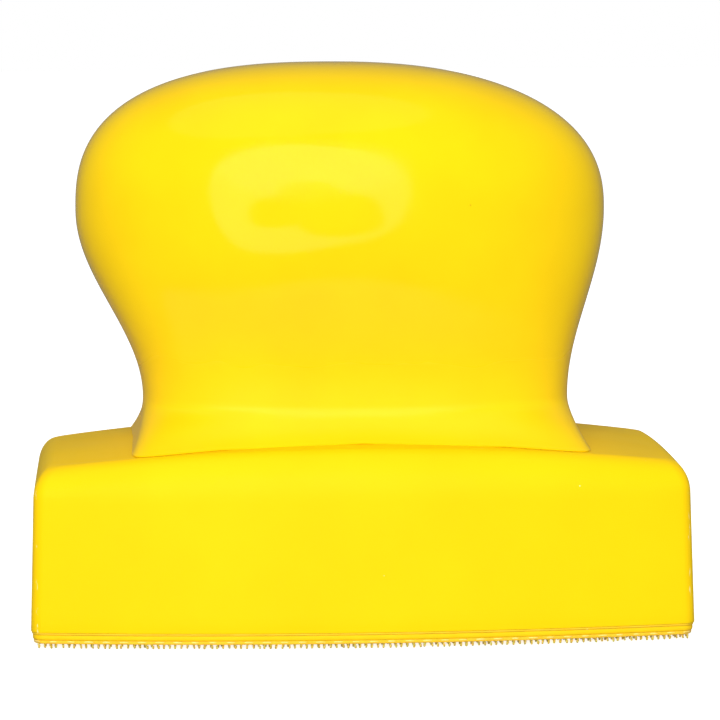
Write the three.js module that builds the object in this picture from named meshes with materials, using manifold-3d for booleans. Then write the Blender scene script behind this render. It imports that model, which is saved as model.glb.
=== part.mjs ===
// Palm-grip hand pad holder: a glossy two-half grip screwed onto a satin block whose sole
// carries a self-adhesive sheet of woven hook fabric.
// Millimetres, +Z up. The hook tips rest on Z = 0, +X runs along the wide side of the
// block and -Y is the front.

import * as THREE from "three";
import { mergeVertices } from "three/addons/utils/BufferGeometryUtils.js";
import Module from "manifold-3d";

const wasm = await Module();
wasm.setup();

// ---------------------------------------------------------------- driving dimensions

const FIT = 0.3; // clearance between faces of different pieces that meet
const LAYER_GAP = 0.15; // clearance between the stacked layers of the sole

// Sole, from the hook tips upwards.
const sole = {
  pileHeight: 0.95, // standing hooks
  weaveThickness: 0.6, // ground cloth that the hooks are woven into
  backingThickness: 0.9, // flexible sheet under the cloth
  filmThickness: 0.15, // pressure-sensitive adhesive
  setback: 0.6, // how far the backing and the adhesive stay inside the block's edge
  trim: 0.25, // how far the woven cloth stays inside the backing
};

// Block, measured at its lower edge unless another height is named.
const block = {
  width: 125,
  depth: 70, // at mid-width, over the bowed front and rear faces
  faceBow: 5.5, // how far the front and rear faces bow out at mid-width
  cornerRadius: 2.6, // upright corner edges
  shoulderHeight: 24.5, // straight drafted part, from the lower edge
  height: 30.3, // lower edge to the ridge, at its corners
  sideDraft: 0.7, // inward lean of each end over the straight part
  faceDraft: 0.9, // inward lean of the front and rear over the straight part
  ridgeInsetX: 4.4, // rounding of the ends' top edge
  ridgeInsetY: 5.6, // rounding of the front and rear top edges
  crownAcross: 3.6, // arch of the top, from its ends to mid-width
  crownDeep: 1, // arch of the top, from its front and rear to mid-depth
};

// Grip: a broad bulb on a narrower neck that flares into a foot. A rise is a height above
// the corners of the block's ridge.
const grip = {
  topRise: 75,
  bulbRise: 46.7,
  neckRise: 10.7,
  footRise: 1.2, // the foot keeps its full size below this height
  bulbHalfWidth: 51,
  bulbHalfDepth: 27.5,
  neckHalfWidth: 41,
  neckHalfDepth: 20.5,
  footHalfWidth: 44,
  footReach: 1.7, // how far the foot stands out past the block's front and rear ridges
  footBow: 2.6, // how far the foot's front and rear bow out at mid-width
  flareExponent: 2.1, // how late the foot flares out below the neck
  domeExponent: 2.45, // outline of the bulb above its widest level
  bulbPlanExponent: 2.2, // outline of the level sections: 2 is an ellipse
  neckPlanExponent: 3.2,
  footPlanExponent: 24,
  bulbShift: -2.6, // the bulb sits off the neck's centre line
  crownShift: -5.6, // and the top of its dome further off
  wall: 3,
};

// Plug under the grip's foot: it stands in the block's socket, on the stiffener plate.
const plug = {
  inset: 3.2, // from the neck's surface
  cornerRadius: 6,
  wall: 3,
};

// Stiffener plate, let into the underside of the block.
const plate = { margin: 8, thickness: 3.6, cornerRadius: 6 };

// Screws that pull the two grip halves together. They enter from the rear, along -Y.
const gripScrew = {
  shankRadius: 1.75,
  length: 20,
  headRadius: 3.4,
  headHeight: 2.4,
  seatY: 10, // plane that the heads bear on
  bossWall: 1.6,
  upperRise: 51.5, // above the corners of the block's ridge
  lowerRise: 19.5,
  upperSpread: 27, // half the distance between the upper pair
  lowerSpread: 25,
};

// Countersunk screws that hold the plate and the block up against the grip's plug.
const plateScrew = {
  shankRadius: 1.75,
  length: 16,
  headRadius: 3.5,
  headHeight: 2,
  recess: 0.4, // head below the plate's face
  bossRadius: 4.2,
  bossHeight: 20,
  bossSink: 1, // how far each boss sinks into the plug's long wall
  spreadX: 27,
};

const tip = { length: 2.5, radius: 0.5 }; // point of every screw
const drive = { width: 0.9, reach: 2, depth: 1.2 }; // cross recess of every screw

// Facets. Points round a level section are a multiple of four.
const BLOCK_POINTS = 56;
const GRIP_POINTS = 56;
const HOLLOW_POINTS = 28;
const DOME_LEVELS = 8;
const NECK_LEVELS = 7;
const FOOT_LEVELS = 4;
const SHOULDER_LEVELS = 4;
const CROWN_LEVELS = 3;
const ROUND_SEGMENTS = 16;

// Heights that follow from the stack of the sole, the block and the grip.
const weaveZ = sole.pileHeight + LAYER_GAP;
const backingZ = weaveZ + sole.weaveThickness + LAYER_GAP;
const filmZ = backingZ + sole.backingThickness + LAYER_GAP;
const rimZ = filmZ + sole.filmThickness + LAYER_GAP;
const plateTopZ = rimZ + plate.thickness;
const plugZ = plateTopZ + FIT;
const shoulderZ = rimZ + block.shoulderHeight;
const ridgeZ = rimZ + block.height;
const crownZ = ridgeZ + block.crownAcross + block.crownDeep;
const footZ = ridgeZ + grip.footRise;
const neckZ = ridgeZ + grip.neckRise;
const bulbZ = ridgeZ + grip.bulbRise;
const topZ = ridgeZ + grip.topRise;
const plateSeatZ = rimZ + plateScrew.recess + plateScrew.headHeight;

// Sizes that follow from the pieces that they meet.
const footHalfDepth = block.depth / 2 - block.faceDraft - block.ridgeInsetY + grip.footReach;
const plugHalfWidth = grip.neckHalfWidth - plug.inset;
const plugHalfDepth = grip.neckHalfDepth - plug.inset;
const plateScrewY = plugHalfDepth - plug.wall - plateScrew.bossRadius + plateScrew.bossSink;

// ---------------------------------------------------------------- finishes

const finishes = {
  grip: { color: 0xffe010, roughness: 0.12, metalness: 0 },
  block: { color: 0xffe818, roughness: 0.42, metalness: 0 },
  plate: { color: 0x2b2d30, roughness: 0.6, metalness: 0 },
  steel: { color: 0xb9bcc0, roughness: 0.3, metalness: 1 },
  backing: { color: 0xffdf14, roughness: 0.55, metalness: 0 },
  film: { color: 0xe8e2c8, roughness: 0.5, metalness: 0 },
  weave: { color: 0xf6c81e, roughness: 0.75, metalness: 0 },
  hooks: { color: 0xffe070, roughness: 0.4, metalness: 0 },
};

// ---------------------------------------------------------------- solids and meshes

/** A closed geometry as a manifold solid. */
function solidOf(geometry) {
  const bare = geometry.index ? geometry.toNonIndexed() : geometry.clone();
  bare.deleteAttribute("normal");
  bare.deleteAttribute("uv");
  const merged = mergeVertices(bare, 1e-4);
  return new wasm.Manifold(
    new wasm.Mesh({
      numProp: 3,
      vertProperties: new Float32Array(merged.attributes.position.array),
      triVerts: new Uint32Array(merged.index.array),
    }),
  );
}

/** A named mesh made from a manifold solid, in the finish given. */
function pieceOf(name, solid, finish) {
  const mesh = solid.getMesh();
  const geometry = new THREE.BufferGeometry();
  geometry.setAttribute("position", new THREE.BufferAttribute(mesh.vertProperties, 3));
  geometry.setIndex(new THREE.BufferAttribute(mesh.triVerts, 1));
  geometry.computeVertexNormals();
  const piece = new THREE.Mesh(geometry, new THREE.MeshStandardMaterial(finish));
  piece.name = name;
  return piece;
}

/** A solid through rings of equal point count, closed flat below and to a point above. */
function loft(rings, apex) {
  const count = rings[0].length;
  const floor = new THREE.Vector3(0, 0, rings[0][0].z);
  const points = [...rings.flat(), floor, apex];
  const floorIndex = rings.length * count;
  const triangles = [];
  for (let k = 0; k < count; k += 1) {
    const next = (k + 1) % count;
    triangles.push(floorIndex, next, k);
    for (let level = 0; level + 1 < rings.length; level += 1) {
      const low = level * count;
      const high = low + count;
      triangles.push(low + k, low + next, high + next);
      triangles.push(low + k, high + next, high + k);
    }
    const last = (rings.length - 1) * count;
    triangles.push(last + k, last + next, floorIndex + 1);
  }
  const geometry = new THREE.BufferGeometry().setFromPoints(points);
  geometry.setIndex(triangles);
  return solidOf(geometry);
}

/** A box between two corners. */
function boxSolid(low, high) {
  const size = new THREE.Vector3().subVectors(high, low);
  const middle = new THREE.Vector3().addVectors(low, high).multiplyScalar(0.5);
  const geometry = new THREE.BoxGeometry(size.x, size.y, size.z);
  return solidOf(geometry.translate(middle.x, middle.y, middle.z));
}

/** A round bar along +Z between two heights. */
function barSolid(radius, lowZ, highZ) {
  const geometry = new THREE.CylinderGeometry(radius, radius, highZ - lowZ, ROUND_SEGMENTS);
  geometry.rotateX(Math.PI / 2);
  return solidOf(geometry.translate(0, 0, (lowZ + highZ) / 2));
}

/** A solid turned about +Z from [radius, z] points that run upwards, from axis to axis. */
function turnedSolid(profile) {
  const points = profile.map(([radius, z]) => new THREE.Vector2(radius, z));
  const geometry = new THREE.LatheGeometry(points, ROUND_SEGMENTS);
  return solidOf(geometry.rotateX(Math.PI / 2));
}

/** A flat slab with the outline given, between two heights. */
function slabSolid(outline, lowZ, highZ) {
  const geometry = new THREE.ExtrudeGeometry(new THREE.Shape(outline), {
    depth: highZ - lowZ,
    bevelEnabled: false,
  });
  return solidOf(geometry.translate(0, 0, lowZ));
}

// ---------------------------------------------------------------- outlines

/**
 * Plan outline of a bowed rectangle, counter-clockwise from the middle of the right end.
 * The front and rear faces are parabolas that bow out at mid-width.
 */
function bowedOutline(halfWidth, halfDepth, bow, radius) {
  const lean = Math.atan((2 * bow * (halfWidth - radius)) / halfWidth ** 2);
  const tangentX = halfWidth - radius + radius * Math.sin(lean);
  const faceY = (x) => halfDepth - bow * (x / halfWidth) ** 2;
  const centreY = faceY(tangentX) - radius * Math.cos(lean);
  const quarter = [];
  const perQuarter = BLOCK_POINTS / 4;
  const cornerPoints = 5;
  const facePoints = perQuarter - cornerPoints - 2;
  quarter.push([halfWidth, 0]);
  for (let k = 0; k <= cornerPoints; k += 1) {
    const angle = ((Math.PI / 2 - lean) * k) / cornerPoints;
    quarter.push([halfWidth - radius + radius * Math.cos(angle), centreY + radius * Math.sin(angle)]);
  }
  for (let k = 1; k <= facePoints; k += 1) {
    const x = tangentX * (1 - k / (facePoints + 1));
    quarter.push([x, faceY(x)]);
  }
  const mirrored = quarter.slice(1).reverse();
  const outline = [
    ...quarter,
    [0, halfDepth],
    ...mirrored.map(([x, y]) => [-x, y]),
    [-halfWidth, 0],
    ...quarter.slice(1).map(([x, y]) => [-x, -y]),
    [0, -halfDepth],
    ...mirrored.map(([x, y]) => [x, -y]),
  ];
  return outline.map(([x, y]) => new THREE.Vector2(x, y));
}

/** Plan outline of the grip's level sections: a superellipse. */
function superellipseOutline(halfWidth, halfDepth, exponent, points) {
  const outline = [];
  for (let k = 0; k < points; k += 1) {
    const angle = (2 * Math.PI * k) / points;
    const along = Math.cos(angle);
    const across = Math.sin(angle);
    const x = halfWidth * Math.sign(along) * Math.abs(along) ** (2 / exponent);
    const y = halfDepth * Math.sign(across) * Math.abs(across) ** (2 / exponent);
    outline.push(new THREE.Vector2(x, y));
  }
  return outline;
}

/** Outline of a rectangle with round corners. */
function roundedOutline(halfWidth, halfDepth, radius) {
  const shape = new THREE.Shape();
  shape.absarc(halfWidth - radius, halfDepth - radius, radius, 0, Math.PI / 2);
  shape.absarc(radius - halfWidth, halfDepth - radius, radius, Math.PI / 2, Math.PI);
  shape.absarc(radius - halfWidth, radius - halfDepth, radius, Math.PI, (3 * Math.PI) / 2);
  shape.absarc(halfWidth - radius, radius - halfDepth, radius, (3 * Math.PI) / 2, 2 * Math.PI);
  return shape.extractPoints(6).shape;
}

// ---------------------------------------------------------------- block and grip forms

/** How far the arched top rises over its corners, at a point given as shares of its half size. */
function crownRise(acrossShare, deepShare) {
  return block.crownAcross * (1 - acrossShare ** 2) + block.crownDeep * (1 - deepShare ** 2);
}

/** The block's outer form, lifted by the amount given. */
function blockForm(lift) {
  const ringAt = (insetX, insetY, z, crown, scale) => {
    const halfWidth = block.width / 2 - insetX;
    const halfDepth = block.depth / 2 - insetY;
    const outline = bowedOutline(halfWidth, halfDepth, block.faceBow, block.cornerRadius);
    return outline.map(({ x, y }) => {
      const rise = crown * crownRise((scale * x) / halfWidth, (scale * y) / halfDepth);
      return new THREE.Vector3(scale * x, scale * y, lift + z + rise);
    });
  };
  const rings = [ringAt(0, 0, rimZ, 0, 1)];
  for (let k = 0; k <= SHOULDER_LEVELS; k += 1) {
    const angle = (Math.PI / 2) * (k / SHOULDER_LEVELS);
    const turnIn = 1 - Math.cos(angle);
    rings.push(
      ringAt(
        block.sideDraft + block.ridgeInsetX * turnIn,
        block.faceDraft + block.ridgeInsetY * turnIn,
        THREE.MathUtils.lerp(shoulderZ, ridgeZ, Math.sin(angle)),
        Math.sin(angle),
        1,
      ),
    );
  }
  for (let k = 1; k < CROWN_LEVELS; k += 1) {
    rings.push(
      ringAt(
        block.sideDraft + block.ridgeInsetX,
        block.faceDraft + block.ridgeInsetY,
        ridgeZ,
        1,
        1 - k / CROWN_LEVELS,
      ),
    );
  }
  return loft(rings, new THREE.Vector3(0, 0, lift + crownZ));
}

/** Half size of the grip at a height, from its half sizes at the bulb, neck and foot. */
function gripHalf(z, bulb, neck, foot, inset) {
  if (z >= bulbZ) {
    const rise = (z - bulbZ) / (topZ - inset - bulbZ);
    return (bulb - inset) * (1 - rise ** grip.domeExponent) ** (1 / grip.domeExponent);
  }
  if (z >= neckZ) {
    return neck - inset + (bulb - neck) * swell(z);
  }
  const drop = Math.min(1, (neckZ - z) / (neckZ - footZ));
  return neck - inset + (foot - neck) * drop ** grip.flareExponent;
}

/** How far a height is on its way from the neck, 0, to the bulb, 1. */
function swell(z) {
  const rise = THREE.MathUtils.clamp((z - neckZ) / (bulbZ - neckZ), 0, 1);
  return (1 - Math.cos(Math.PI * rise)) / 2;
}

/** How far the grip's axis is off the block's centre line at a height. */
function axisShift(z) {
  const rise = THREE.MathUtils.clamp((z - bulbZ) / (topZ - bulbZ), 0, 1);
  return grip.bulbShift * swell(z) + (grip.crownShift - grip.bulbShift) * rise ** 2;
}

/** One level section of the grip, set in from its surface by the inset given. */
function gripRing(z, inset) {
  const drop = THREE.MathUtils.clamp((neckZ - z) / (neckZ - footZ), 0, 1);
  const ease = drop ** grip.flareExponent;
  const upper = THREE.MathUtils.lerp(grip.neckPlanExponent, grip.bulbPlanExponent, swell(z));
  const exponent = THREE.MathUtils.lerp(upper, grip.footPlanExponent, ease);
  const halfWidth = gripHalf(z, grip.bulbHalfWidth, grip.neckHalfWidth, grip.footHalfWidth, inset);
  const halfDepth = gripHalf(z, grip.bulbHalfDepth, grip.neckHalfDepth, footHalfDepth, inset);
  const points = inset > 0 ? HOLLOW_POINTS : GRIP_POINTS;
  const outline = superellipseOutline(halfWidth, halfDepth, exponent, points);
  const shift = axisShift(z);
  const bow = (ease * grip.footBow) / footHalfDepth;
  return outline.map(
    ({ x, y }) => new THREE.Vector3(x + shift, y * (1 - bow * (x / halfWidth) ** 2), z),
  );
}

/** The grip's outer form, or its hollow where an inset is given, from the height given up. */
function gripForm(lowZ, inset) {
  const heights = [lowZ];
  for (let k = 0; k < FOOT_LEVELS; k += 1) {
    heights.push(THREE.MathUtils.lerp(footZ, neckZ, k / FOOT_LEVELS));
  }
  for (let k = 0; k < NECK_LEVELS; k += 1) {
    heights.push(THREE.MathUtils.lerp(neckZ, bulbZ, k / NECK_LEVELS));
  }
  const endZ = topZ - inset;
  for (let k = 0; k < DOME_LEVELS; k += 1) {
    const angle = (Math.PI / 2) * (k / DOME_LEVELS);
    heights.push(THREE.MathUtils.lerp(bulbZ, endZ, Math.sin(angle)));
  }
  const levels = [...new Set(heights)].filter((z) => z >= lowZ);
  const rings = levels.map((z) => gripRing(z, inset));
  return loft(rings, new THREE.Vector3(axisShift(endZ), 0, endZ));
}

// ---------------------------------------------------------------- screws

/** A screw along +Z: its head's seat is at Z = 0 and its point is below. */
function screwSolid(size, headProfile) {
  const body = turnedSolid([
    [0, -size.length],
    [tip.radius, -size.length],
    [size.shankRadius, tip.length - size.length],
    ...headProfile,
  ]);
  const top = headProfile.at(-1)[1];
  const slot = (reachX, reachY) =>
    boxSolid(
      new THREE.Vector3(-reachX, -reachY, top - drive.depth),
      new THREE.Vector3(reachX, reachY, top + 1),
    );
  return body.subtract(slot(drive.reach, drive.width / 2)).subtract(slot(drive.width / 2, drive.reach));
}

const panHead = [
  [gripScrew.shankRadius, 0],
  [gripScrew.headRadius, 0],
  [gripScrew.headRadius, gripScrew.headHeight * 0.55],
  [gripScrew.headRadius * 0.8, gripScrew.headHeight],
  [0, gripScrew.headHeight],
];

const flatHead = [
  [plateScrew.shankRadius, 0],
  [plateScrew.headRadius, plateScrew.headHeight],
  [0, plateScrew.headHeight],
];

/** Where the four grip screws cross the parting plane, by name. */
const gripScrewPlaces = [];
/** Where the four plate screws stand, by name. */
const plateScrewPlaces = [];
for (const [side, sign] of [["left", -1], ["right", 1]]) {
  gripScrewPlaces.push({
    name: `grip_screw_upper_${side}`,
    x: grip.bulbShift + sign * gripScrew.upperSpread,
    z: ridgeZ + gripScrew.upperRise,
  });
  gripScrewPlaces.push({
    name: `grip_screw_lower_${side}`,
    x: sign * gripScrew.lowerSpread,
    z: ridgeZ + gripScrew.lowerRise,
  });
  for (const [face, toward] of [["front", -1], ["rear", 1]]) {
    plateScrewPlaces.push({
      name: `plate_screw_${face}_${side}`,
      x: sign * plateScrew.spreadX,
      y: toward * plateScrewY,
    });
  }
}

/** A bar along Y at a grip screw's place, between two Y values. */
function crossBar(radius, place, lowY, highY) {
  const geometry = new THREE.CylinderGeometry(radius, radius, highY - lowY, ROUND_SEGMENTS);
  return solidOf(geometry.translate(place.x, (lowY + highY) / 2, place.z));
}

// ---------------------------------------------------------------- grip halves

const outerForm = gripForm(rimZ + block.shoulderHeight, 0);
const plugOutline = (grow) =>
  roundedOutline(plugHalfWidth + grow, plugHalfDepth + grow, plug.cornerRadius + grow);
const plugInside = plugOutline(-plug.wall);
const plugForm = slabSolid(plugOutline(0), plugZ, crownZ);
const foot = outerForm.subtract(blockForm(FIT));
const fullForm = foot.add(plugForm);
const hollow = gripForm(neckZ, grip.wall).add(slabSolid(plugInside, plugZ - 1, neckZ + 1));
const reachY = block.depth; // clear of every face of the grip

/** The bosses for the plate screws that fall on one side of the parting plane. */
function plateBosses(toward) {
  let bosses = null;
  for (const place of plateScrewPlaces.filter(({ y }) => Math.sign(y) === toward)) {
    const boss = barSolid(plateScrew.bossRadius, plugZ, plugZ + plateScrew.bossHeight).translate([
      place.x,
      place.y,
      0,
    ]);
    bosses = bosses ? bosses.add(boss) : boss;
  }
  return bosses;
}

/** Holes for the plate screws' shanks, up from the plug's end. */
function drillPlateHoles(half) {
  for (const place of plateScrewPlaces) {
    const hole = barSolid(plateScrew.shankRadius + FIT, plugZ - 1, plateSeatZ + plateScrew.length + FIT);
    half = half.subtract(hole.translate([place.x, place.y, 0]));
  }
  return half;
}

/** One half of the grip; toward is -1 for the front half and 1 for the rear half. */
function gripHalfSolid(toward) {
  const near = (toward * FIT) / 2;
  const far = toward * reachY;
  const side = boxSolid(
    new THREE.Vector3(-block.width, Math.min(near, far), 0),
    new THREE.Vector3(block.width, Math.max(near, far), topZ + 1),
  );
  const boreRadius = gripScrew.shankRadius + FIT;
  const headBoreRadius = gripScrew.headRadius + FIT;
  const bossRadius = headBoreRadius + gripScrew.bossWall;
  let bosses = plateBosses(toward);
  for (const place of gripScrewPlaces) {
    bosses = bosses.add(crossBar(bossRadius, place, Math.min(near, far), Math.max(near, far)));
  }
  let half = fullForm.subtract(hollow).add(bosses.intersect(fullForm)).intersect(side);
  const pointY = gripScrew.seatY - gripScrew.length;
  for (const place of gripScrewPlaces) {
    half = half.subtract(crossBar(boreRadius, place, pointY - FIT, gripScrew.seatY));
    half = half.subtract(crossBar(headBoreRadius, place, gripScrew.seatY - FIT, reachY));
  }
  return drillPlateHoles(half);
}

// ---------------------------------------------------------------- block, plate and sole

const plateOutline = (grow) =>
  roundedOutline(
    block.width / 2 - plate.margin + grow,
    block.depth / 2 - block.faceBow - plate.margin + grow,
    plate.cornerRadius + grow,
  );

function blockSolid() {
  return blockForm(0)
    .subtract(slabSolid(plateOutline(FIT), rimZ - 1, plateTopZ + FIT))
    .subtract(slabSolid(plugOutline(FIT), rimZ, crownZ + 1));
}

function plateSolid() {
  let solid = slabSolid(plateOutline(0), rimZ, plateTopZ);
  for (const place of plateScrewPlaces) {
    const bore = barSolid(plateScrew.shankRadius + FIT, rimZ - 1, plateTopZ + 1);
    const sink = turnedSolid([
      [0, rimZ - 1],
      [plateScrew.headRadius + FIT, rimZ - 1],
      [plateScrew.headRadius + FIT, rimZ + plateScrew.recess],
      [plateScrew.shankRadius + FIT, plateSeatZ],
      [0, plateSeatZ],
    ]);
    solid = solid.subtract(bore.add(sink).translate([place.x, place.y, 0]));
  }
  return solid;
}

/** One flat layer of the sole, set back from the block's edge. */
function layerSolid(setback, lowZ, thickness) {
  const outline = bowedOutline(
    block.width / 2 - setback,
    block.depth / 2 - setback,
    block.faceBow,
    block.cornerRadius,
  );
  return slabSolid(outline, lowZ, lowZ + thickness);
}

// ---------------------------------------------------------------- assembly

const holder = new THREE.Group();
holder.name = "hand_pad_holder";
holder.add(pieceOf("grip_front_half", gripHalfSolid(-1), finishes.grip));
holder.add(pieceOf("grip_rear_half", gripHalfSolid(1), finishes.grip));
holder.add(pieceOf("block", blockSolid(), finishes.block));
holder.add(pieceOf("stiffener_plate", plateSolid(), finishes.plate));

for (const place of gripScrewPlaces) {
  const screw = pieceOf(place.name, screwSolid(gripScrew, panHead), finishes.steel);
  screw.rotation.x = -Math.PI / 2;
  screw.position.set(place.x, gripScrew.seatY, place.z);
  holder.add(screw);
}

for (const place of plateScrewPlaces) {
  const screw = pieceOf(place.name, screwSolid(plateScrew, flatHead), finishes.steel);
  screw.rotation.x = Math.PI;
  screw.position.set(place.x, place.y, plateSeatZ);
  holder.add(screw);
}

const clothSetback = sole.setback + sole.trim;
holder.add(
  pieceOf("adhesive_film", layerSolid(sole.setback, filmZ, sole.filmThickness), finishes.film),
  pieceOf("sole_backing", layerSolid(sole.setback, backingZ, sole.backingThickness), finishes.backing),
  pieceOf("hook_weave", layerSolid(clothSetback, weaveZ, sole.weaveThickness), finishes.weave),
  pieceOf("hook_pile", layerSolid(clothSetback, 0, sole.pileHeight), finishes.hooks),
);

export default holder;
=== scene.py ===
"""Looks of a palm-grip hand pad holder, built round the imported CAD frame.

The glossy grip is two moulded shells on a satin block. The block's underside carries a
stiffener plate and a self-adhesive sole of woven hook fabric. Metres, +Z up, hook tips on
Z = 0, -Y is the front.
"""

import logging
import math
from dataclasses import dataclass, field
from enum import Enum
from typing import Callable

import bpy
from mathutils import Matrix, Vector


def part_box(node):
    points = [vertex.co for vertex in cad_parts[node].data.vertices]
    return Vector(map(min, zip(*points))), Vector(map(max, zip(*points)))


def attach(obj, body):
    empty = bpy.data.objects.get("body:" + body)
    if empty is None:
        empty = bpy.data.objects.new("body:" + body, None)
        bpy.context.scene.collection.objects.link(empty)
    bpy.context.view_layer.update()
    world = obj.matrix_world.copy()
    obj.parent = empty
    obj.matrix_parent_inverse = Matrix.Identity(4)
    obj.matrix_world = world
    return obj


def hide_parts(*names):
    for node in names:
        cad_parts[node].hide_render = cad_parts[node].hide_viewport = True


log = logging.getLogger("hand_pad_holder")

MM = 0.001
BODY = "root"
WHITE = (1.0, 1.0, 1.0, 1.0)
YARN_PITCH = 1.11 * MM  # of the ground cloth, and so of the hooks
CORNER_STEPS = 8  # facets in each round corner of a slab
SPECK_RARITY = 0.72  # share of the cells that hold no speck

Point = tuple[float, float, float]
Face = tuple[int, ...]
Socket = bpy.types.NodeSocket


# ---------------------------------------------------------------- small helpers


def clamp(value: float, low: float = 0.0, high: float = 1.0) -> float:
    """Value held between low and high."""
    return max(low, min(high, value))


def lerp(start: float, end: float, share: float) -> float:
    """Value the given share of the way from start to end."""
    return start + (end - start) * share


def signed_power(value: float, power: float) -> float:
    """Power of the size of value, with value's sign."""
    return math.copysign(abs(value) ** power, value)


def linear(hex_colour: str) -> tuple[float, float, float, float]:
    """Linear RGBA of an sRGB colour written as six hex digits."""
    channels = [int(hex_colour[i : i + 2], 16) / 255 for i in (0, 2, 4)]
    turned = [c / 12.92 if c <= 0.04045 else ((c + 0.055) / 1.055) ** 2.4 for c in channels]
    return (turned[0], turned[1], turned[2], 1.0)


def mesh_object(name: str, points: list[Point], faces: list[Face]) -> bpy.types.Object:
    """Make a mesh object at the origin.

    Args:
        name: Name of the piece.
        points: Corners in metres.
        faces: Corner numbers of each face, facing outwards.

    Returns:
        The object, linked to the scene.
    """
    mesh = bpy.data.meshes.new(name)
    mesh.from_pydata(points, [], faces)
    mesh.update()
    piece = bpy.data.objects.new(name, mesh)
    bpy.context.scene.collection.objects.link(piece)
    return piece


def baked(piece: bpy.types.Object, name: str) -> bpy.types.Object:
    """Turn an object with modifiers into a plain mesh object.

    Args:
        piece: Object whose modifiers are applied, and which is removed.
        name: Name of the new piece.

    Returns:
        The plain object, at the origin.
    """
    bpy.context.view_layer.update()
    graph = bpy.context.evaluated_depsgraph_get()
    mesh = bpy.data.meshes.new_from_object(piece.evaluated_get(graph), depsgraph=graph)
    mesh.name = name
    bpy.data.objects.remove(piece)
    result = bpy.data.objects.new(name, mesh)
    bpy.context.scene.collection.objects.link(result)
    return result


def smoothed(piece: bpy.types.Object, angle_deg: float) -> None:
    """Shade a mesh smooth, with its edges sharp above the angle given."""
    piece.data.shade_smooth()
    piece.data.set_sharp_from_angle(angle=math.radians(angle_deg))


def combined(piece: bpy.types.Object, other: bpy.types.Object, operation: str) -> bpy.types.Object:
    """Join or cut two closed meshes.

    Args:
        piece: Object to change.
        other: Closed mesh, which is removed afterwards.
        operation: UNION or DIFFERENCE.

    Returns:
        The result as a plain mesh object with the piece's name.
    """
    name = piece.name
    piece.name = name + "_blank"
    modifier = piece.modifiers.new("step", "BOOLEAN")
    modifier.operation = operation
    modifier.solver = "MANIFOLD"
    modifier.object = other
    result = baked(piece, name)
    bpy.data.objects.remove(other)
    return result


def ring_skin(rings: int, count: int, close_round: bool = True) -> list[Face]:
    """Quads between rings of points that run counter-clockwise and upwards.

    Args:
        rings: Number of rings.
        count: Points in each ring.
        close_round: Whether the last point of a ring meets its first.

    Returns:
        The faces, facing away from the rings' middle.
    """
    faces: list[Face] = []
    for level in range(rings - 1):
        for k in range(count if close_round else count - 1):
            following = (k + 1) % count
            low, high = level * count, (level + 1) * count
            faces.append((low + k, low + following, high + following, high + k))
    return faces


def capped(
    name: str, points: list[Point], count: int, flipped: bool = False
) -> bpy.types.Object:
    """A closed body of rings of points, whose first and last rings are its ends.

    Args:
        name: Name of the piece.
        points: All rings' points, ring after ring.
        count: Points in each ring.
        flipped: Whether the rings run clockwise.

    Returns:
        The closed object.
    """
    faces = ring_skin(len(points) // count, count)
    faces.append(tuple(reversed(range(count))))
    faces.append(tuple(range(len(points) - count, len(points))))
    return mesh_object(name, points, [face[::-1] for face in faces] if flipped else faces)


def circle(count: int) -> list[tuple[float, float]]:
    """Cosine and sine at even steps round a circle."""
    angles = [2 * math.pi * k / count for k in range(count)]
    return [(math.cos(angle), math.sin(angle)) for angle in angles]


def turned(name: str, profile: list[tuple[float, float]], sides: int) -> bpy.types.Object:
    """A closed solid turned about +Z, from (radius, height) pairs that run upwards."""
    points = [(r * c, r * s, z) for r, z in profile for c, s in circle(sides)]
    return capped(name, points, sides)


# ---------------------------------------------------------------- materials


class Nodes:
    """A node tree with one way to add a node."""

    def __init__(self, tree: bpy.types.NodeTree) -> None:
        """Start on an empty tree."""
        self.tree = tree
        tree.nodes.clear()

    def add(self, kind: str, settings: dict | None = None, **inputs: object) -> bpy.types.Node:
        """Add a node with its settings and links.

        Args:
            kind: Blender's name of the node type.
            settings: Attributes of the node itself.
            **inputs: Value or output socket of each input, by name with _ for a space, or
                by its number as i0, i1 and so on.

        Returns:
            The node.
        """
        node = self.tree.nodes.new(kind)
        for key, value in (settings or {}).items():
            setattr(node, key, value)
        for key, value in inputs.items():
            number = key[1:]
            wanted = int(number) if number.isdigit() else key.replace("_", " ")
            socket = node.inputs[wanted]
            if isinstance(value, bpy.types.NodeSocket):
                self.tree.links.new(value, socket)
            else:
                socket.default_value = value
        return node

    def noise(self, place: Socket, size: float, detail: float) -> Socket:
        """Noise from 0 to 1, with patches of the size given in metres."""
        kind = "ShaderNodeTexNoise"
        return self.add(kind, Vector=place, Scale=1 / size, Detail=detail).outputs["Fac"]

    def ranged(self, value: Socket, **ends: float) -> Socket:
        """Value carried from the From range to the To range, both 0 to 1 unless named."""
        return self.add("ShaderNodeMapRange", Value=value, **ends).outputs[0]

    def maths(self, kind: str, *values: Socket | float) -> Socket:
        """One arithmetic step between numbers or sockets."""
        inputs = {f"i{number}": value for number, value in enumerate(values)}
        return self.add("ShaderNodeMath", {"operation": kind}, **inputs).outputs[0]

    def scaled(self, place: Socket, *scale: float) -> Socket:
        """Coordinate scaled along X, Y and Z; below 1 stretches a pattern."""
        return self.add("ShaderNodeMapping", Vector=place, Scale=scale).outputs[0]

    def principled(self, **inputs: object) -> bpy.types.Node:
        """Principled shader with the inputs named."""
        return self.add("ShaderNodeBsdfPrincipled", **inputs)


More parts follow.
